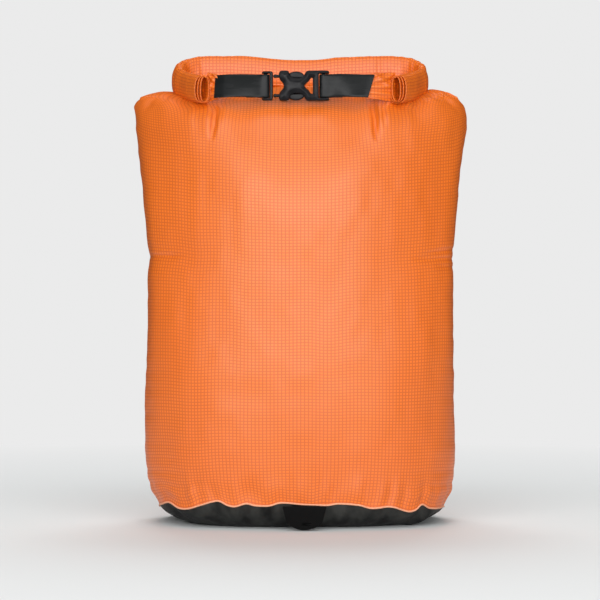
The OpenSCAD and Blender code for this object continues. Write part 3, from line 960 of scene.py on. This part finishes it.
def roll_spiral(end):
    """The rolled sheet's section: out and up, for each turn, thicker and flatter at the ends."""
    turns = np.linspace(0, ROLL_TURNS, int(ROLL_TURNS * ROLL_STEPS))
    a = 2 * math.pi * turns - 0.75 * math.pi
    c, n = np.cos(a), np.sin(a)
    half_t = 0.0062 + 0.0030 * end
    half_h = ROLL_HALF_H - 0.0002 - 0.0012 * end
    wide = half_t * (1 - 0.26 * turns)
    high = half_h - (0.0011 - 0.0004 * end) * turns
    return turns, c, n, wide * np.sign(c) * abs(c) ** 0.8, high * np.sign(n) * abs(n) ** 0.8


def roll_swell(along, length, turns):
    """Lumps all along the roll, and pleats where it bends most, strongest in the outer turns."""
    bend = np.linalg.norm(np.gradient(along, axis=0), axis=1) * (ROLL_STATIONS - 1) / length
    lumps = soft_noise(ROLL_STATIONS, len(turns), 22, 9) * 0.0007
    pleats = soft_noise(ROLL_STATIONS, len(turns), 84, 14) * 0.0013
    pleats *= np.minimum(evened(bend, 4) / 16, 1)[:, None]
    return (lumps + pleats) * (0.4 + 0.6 * np.exp(-turns / 0.8))[None, :]


def make_roll():
    """A flat tube of cloth rolled up on itself, bent forwards into a ring: one spiral sheet."""
    length, s, line, along, out, end = roll_frame()
    turns, middle_c, _, middle_u, middle_v = roll_spiral(0.0)
    swell = roll_swell(along, length, turns)
    grid = np.zeros((ROLL_STATIONS, len(turns), 3))
    for i in range(ROLL_STATIONS):
        _, c, n, u, v = roll_spiral(end[i])
        reach = (s[i] - 0.5) * 2 * 0.0035 * (turns / ROLL_TURNS - 0.3) * end[i] ** 4
        grid[i] = line[i] + along[i] * reach[:, None] + out[i] * (u + swell[i] * c)[:, None]
        grid[i, :, 2] += v + swell[i] * n
    for x, depth in ROLL_CREASES:
        near = hump(line[:, 0], x, 0.0016) * (line[:, 1] > 0) * depth
        grid += out[:, None] * near[:, None, None] * (middle_c < 0.2)[None, :, None]
    round_run = lengths_along(np.stack([middle_u, middle_v], 1))
    uv = np.stack(np.meshgrid(round_run, s * length), 2)[:, :, ::-1]
    roll = add_piece("rolled_mouth", grid, uv, "orange_ripstop", "bag", ["roll_top"])
    thicken(roll, ROLL_CLOTH)
    make_hem("roll_hem_left", grid[0])
    make_hem("roll_hem_right", grid[-1])


def make_hem(name, path):
    """The folded edge of the cloth, seen at the end of the roll."""
    d = unit(np.gradient(path, axis=0))
    side = unit(np.cross(d, [0.4, 0.9, 0.1]))
    k = np.linspace(0, 2 * math.pi, HEM_SIDES + 1)[:-1]
    grid = sweep(path, side, np.cross(side, d), HEM_RADIUS * np.stack([np.cos(k), np.sin(k)], 1))
    add_piece(name, grid, swept_uv(path, HEM_SIDES, 0.003), "orange_ripstop", "bag", wrap=True)


make_roll()


# ---- straps ----

strap_low, strap_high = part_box("strap_left")
socket_low, socket_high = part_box("buckle_socket")
STRAP_W = strap_high.z - strap_low.z
STRAP_Z = (strap_high.z + strap_low.z) / 2
STRAP_T = 0.0013
STRAP_LEAN = 0.13
STRAP_FACE = 13  # points across
BUCKLE_Y = (socket_high.y + socket_low.y) / 2
WRAP_R = 0.0030
LEFT_BAR_X = -0.031
RIGHT_BAR_X = 0.0201

# plan of each strap's sewn end, as if it were on the left
LEFT_LEAD = table([[-75.8, -66.4], [-72, -68.9], [-67, -71.4], [-60, -72.9]])
RIGHT_LEAD = table([[-62.5, -72.2], [-59, -72.9], [-54, -73.2]])


def strap_path(bar_x, bulge, lead):
    """Plan of a strap: from its sewn end, round the bar and back to its other end behind."""
    front = np.array([[bar_x - 0.016, -0.0734], [bar_x - 0.008, -0.0741]])
    a = np.radians(np.arange(-100, 91, 19))
    wrap = np.stack([bar_x + WRAP_R * np.cos(a), BUCKLE_Y + WRAP_R * np.sin(a)], 1)
    behind = np.array([[bar_x - 0.005, -0.0705], [bar_x - 0.009, -0.0722], [bar_x - 0.017, -0.07185]])
    path = curve_through(np.vstack([lead, front, wrap, behind]), 8)
    in_front = np.arange(len(path)) < len(path) * 0.42
    path[:, 1] -= bulge * hump(path[:, 0], bar_x - 0.013, 0.008) * in_front
    return path


def strap_section(corner=0.0005):
    """A thin band with rounded edges, going round once."""
    edge = STRAP_W / 2 - corner
    k = np.radians([-60, -30, 0, 30, 60])
    face = np.stack([np.full(STRAP_FACE, -STRAP_T / 2), np.linspace(-1, 1, STRAP_FACE) * edge], 1)
    top = np.stack([np.sin(k) * STRAP_T / 2, edge + corner * np.cos(k)], 1)
    return np.vstack([face, top, -face, -top])


def strap_grid(path, bar_x, mirror, slant):
    """The band along its path, crowned and leaning back in front, its sewn end cut on the slant."""
    d = np.gradient(path, axis=0)
    side = unit(np.stack([-d[:, 1], d[:, 0], 0 * d[:, 0]], 1))
    centre = np.column_stack([path, np.full(len(path), STRAP_Z)])
    up = np.zeros_like(side)
    up[:, 2] = 1
    section = strap_section()
    grid = sweep(centre, side, up, section)
    run = lengths_along(path)
    height = section[:, 1] / STRAP_W * 2
    grid[:, :, 2] += (0.0004 * np.sin(run / 0.011) * hump(run, 0.03, 0.02))[:, None]
    crowned = ramp(run, 0.012, 0.03) * (1 - ramp(run, run[-1] * 0.45, run[-1] * 0.55))
    grid[:, :, 1] -= (0.0005 * (1 - height**2))[None, :] * crowned[:, None]
    flat_part = 1 - hump(path[:, 0], bar_x - 0.012, 0.010) * mirror
    front_part = 1 - ramp(run, run[-1] * 0.54, run[-1] * 0.61)
    grid[:, :, 1] += STRAP_LEAN * section[None, :, 1] * (flat_part * front_part)[:, None]
    if mirror:
        grid[:, :, 0] *= -1
    grid[:, :, 0] += height[None, :] * slant * (1 - ramp(run, 0, 0.012))[:, None]
    return grid


def make_strap(name, node, bar_x, lead, slant, bulge=0.0, mirror=False):
    """A strap from its sewn end to its buckle bar, made as if on the left and mirrored for the right."""
    path = strap_path(bar_x, bulge, lead)
    grid = strap_grid(path, bar_x, mirror, slant)
    caps = [grid[k].mean(0, keepdims=True).repeat(grid.shape[1], 0)[None] for k in (0, -1)]
    run = lengths_along(path)
    uv = np.stack(np.meshgrid(np.linspace(0, 2 * STRAP_W, grid.shape[1] + 1), np.r_[0, run, run[-1]]), 2)
    strap = mesh_piece(name, np.concatenate([caps[0], grid, caps[1]]), uv, True, LOOKS["strap_black"])
    if not mirror:
        strap.data.flip_normals()
    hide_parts(node)
    return strap


left_strap = make_strap("closure_strap_left", "strap_left", LEFT_BAR_X, LEFT_LEAD, slant=0.0007)
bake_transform(left_strap)
right_strap = make_strap("closure_strap_right", "strap_right", -RIGHT_BAR_X, RIGHT_LEAD,
                         slant=0.003, bulge=0.0018, mirror=True)
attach(right_strap, "bag")

TONGUE_ROWS = 33
TONGUE_CLOTH = 0.0008
LEFT_TONGUE = table([[-82.5, -60], [-79.5, -62.4], [-76.5, -64.6], [-73.5, -66.6]])
RIGHT_TONGUE = table([[-84, -59.5], [-79, -62.8], [-72, -67], [-65, -69.9], [-59.5, -71.3]])


def make_tongue(name, plan, sign):
    """The flattened end of the roll, folded and sewn behind the strap's end."""
    path = curve_through(plan, 10)
    run = lengths_along(path)
    t = (run / run[-1])[:, None]
    up = np.linspace(-1, 1, TONGUE_ROWS)[None, :]
    height = STRAP_Z + up * (0.0128 - 0.0018 * smooth(t))
    fans = 0.0013 * np.sin(up * (2.5 + 2.5 * t) * math.pi + t * 3) * (1 - 0.5 * t)
    fold = 0.0012 * hump(up * 0.6 + 0.2, t, 0.12)
    x, y = (np.repeat(path[:, k : k + 1], TONGUE_ROWS, 1) for k in (0, 1))
    grid = np.stack([x * sign, y - fans - fold + 0.0006 * up**8, height], 2)
    uv = np.stack([np.repeat(run[:, None], TONGUE_ROWS, 1), height - STRAP_Z], 2)
    thicken(add_piece(name, grid, uv, "orange_ripstop", "bag"), TONGUE_CLOTH)


make_tongue("roll_end_left", LEFT_TONGUE, 1)
make_tongue("roll_end_right", RIGHT_TONGUE, -1)


# ---- the buckle, moulded from its CAD nodes ----

VOXEL = 0.00032
OUTER_SKIN = 0.0009  # depth of the outer faces, which are crowned


def rounded_copy(node_name):
    """A mesh of the CAD node with all its edges slightly rounded, in the frame."""
    source = bpy.data.objects[node_name]
    rough = bpy.data.objects.new("rough", source.data.copy())
    rough.matrix_world = source.matrix_world.copy()
    bpy.context.scene.collection.objects.link(rough)
    remesh = rough.modifiers.new("voxels", "REMESH")
    remesh.mode = "VOXEL"
    remesh.voxel_size = VOXEL
    even = rough.modifiers.new("even", "SMOOTH")
    even.factor = 0.5
    even.iterations = 5
    shown = rough.evaluated_get(bpy.context.evaluated_depsgraph_get())
    mesh = bpy.data.meshes.new_from_object(shown)
    mesh.transform(rough.matrix_world)
    bpy.data.objects.remove(rough)
    return mesh


def crown(mesh, swell, reach):
    """Swells the outer front and back faces, from nothing at their edges to the full swell at reach."""
    count = len(mesh.vertices)
    at, normal = np.empty(count * 3, np.float32), np.empty(count * 3, np.float32)
    mesh.vertices.foreach_get("co", at)
    mesh.vertices.foreach_get("normal", normal)
    at, normal = at.reshape(-1, 3).astype(float), normal.reshape(-1, 3)
    front, back = at[:, 1].min(), at[:, 1].max()
    deep = np.minimum(at[:, 1] - front, back - at[:, 1])
    edge = at[(abs(normal[:, 1]) < 0.6) & (deep < OUTER_SKIN)]
    tree = KDTree(len(edge))
    for k, point in enumerate(edge):
        tree.insert((point[0], 0, point[2]), k)
    tree.balance()
    inset = np.array([tree.find((x, 0, z))[2] for x, z in at[:, [0, 2]]])
    rise = swell * np.sin(np.clip(inset / reach, 0, 1) * math.pi / 2)
    at[:, 1] += rise * np.sign(normal[:, 1]) * ramp(abs(normal[:, 1]), 0.3, 0.8) * (deep < OUTER_SKIN)
    mesh.vertices.foreach_set("co", at.astype(np.float32).ravel())


def make_moulded(name, node_name, body, swell, reach):
    """A moulded part in place of its CAD node, with rounded edges and crowned outer faces."""
    mesh = rounded_copy(node_name)
    crown(mesh, swell, reach)
    mesh.materials.clear()
    mesh.materials.append(LOOKS["buckle_black"])
    mesh.shade_smooth()
    piece = bpy.data.objects.new(name, mesh)
    bpy.context.scene.collection.objects.link(piece)
    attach(piece, body)
    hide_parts(node_name)


make_moulded("plug_moulding", "buckle_plug", "plug", 0.0004, 0.0014)
make_moulded("latch_upper_moulding", "latch_arm_upper", "latch_upper", 0.0002, 0.0014)
make_moulded("latch_lower_moulding", "latch_arm_lower", "latch_lower", 0.0002, 0.0014)
make_moulded("socket_moulding", "buckle_socket", "bag", 0.0013, 0.0050)


# ---- CAD nodes that stay, with better surfaces ----

KEPT = {
    "closure_stiffener": "stiffener", "strap_left_stitching": "thread", "strap_right_stitching": "thread",
    "lash_tab": "tab_black", "lash_tab_bartacks": "thread",
}

for node_name, look in KEPT.items():
    node = bpy.data.objects[node_name]
    node.data.materials.clear()
    node.data.materials.append(LOOKS[look])


def soften_edges(node_name, width):
    """Bevels a node's sharp edges."""
    bevel = bpy.data.objects[node_name].modifiers.new("soft edges", "BEVEL")
    bevel.width = width
    bevel.segments = 3
    bevel.limit_method = "ANGLE"
    bevel.angle_limit = math.radians(40)
    bevel.harden_normals = False


soften_edges("lash_tab", 0.0006)


# ---- light and floor ----

ROOM_SEEN = 0.83  # brightness of the pale room behind the bag
ROOM_LIGHT = 0.21  # what it gives as light
ROOM_MIRRORED = 0.03  # and what glossy surfaces mirror of it
FLOOR_RADIUS = 1.15
FLOOR_COLOR = (0.71, 0.735, 0.735)


def area_light(name, at, aim, size, power, glossy=True):
    """A soft rectangular light that the camera doesn't see."""
    data = bpy.data.lights.new(name, "AREA")
    data.shape = "RECTANGLE"
    data.size, data.size_y = size
    data.energy = power
    light = bpy.data.objects.new(name, data)
    light.location = at
    light.rotation_euler = (Vector(aim) - Vector(at)).to_track_quat("-Z", "Y").to_euler()
    light.visible_camera = False
    light.visible_glossy = glossy
    bpy.context.scene.collection.objects.link(light)


def make_world():
    """A pale even room, which lights the bag more softly than it looks."""
    world = bpy.data.worlds.new("studio")
    world.use_nodes = True
    sky = world.node_tree
    rays = add_node(sky, "ShaderNodeLightPath").outputs
    unseen = add_node(sky, "ShaderNodeMapRange", {
        "Value": rays["Is Glossy Ray"], "To Min": ROOM_LIGHT, "To Max": ROOM_MIRRORED}).outputs[0]
    strength = add_node(sky, "ShaderNodeMath", {
        0: rays["Is Camera Ray"], 1: ROOM_SEEN - ROOM_LIGHT, 2: unseen}, operation="MULTIPLY_ADD")
    background = sky.nodes["Background"].inputs
    background[0].default_value = (1, 1, 1, 1)
    sky.links.new(strength.outputs[0], background[1])
    bpy.context.scene.world = world


def make_floor():
    """A pale disc that runs out into the pale room, so that no edge or horizon shows."""
    around = np.linspace(0, 2 * math.pi, 97)[:-1]
    out = np.linspace(FLOOR_RADIUS, 0.001, 24)[:, None]
    grid = np.stack([out * np.cos(around), out * np.sin(around), 0 * out - 0.0004 + 0 * around], 2)
    piece = mesh_piece("floor", grid, wrap=True)
    paper = Surface("pale_floor", (0.8, 0.8, 0.8), 0.95, Specular_IOR_Level=0.0, Emission_Strength=1.0)
    far = add_node(paper.tree, "ShaderNodeVectorMath", {0: paper.place("Object")}, operation="LENGTH")
    fade = paper.remap(far.outputs["Value"], 0.25, 1.1)
    paper.paint(paper.mix(fade, FLOOR_COLOR, (0, 0, 0)))
    glow = paper.mix(fade, (0, 0, 0), (ROOM_SEEN, ROOM_SEEN, ROOM_SEEN))
    paper.tree.links.new(glow, paper.shader.inputs["Emission Color"])
    piece.data.materials.append(paper.material)
    return piece


area_light("key", (0.0, -2.35, 0.66), (0, 0, 0.27), (4.2, 0.5), 62)
area_light("high", (0.0, -1.4, 1.85), (0, 0, 0.30), (3.2, 0.9), 21)
area_light("behind", (0.0, 1.2, 2.2), (0, 0, 0), (1.4, 1.4), 33, glossy=False)
make_world()
bpy.context.scene.view_settings.view_transform = "Standard"
make_floor()
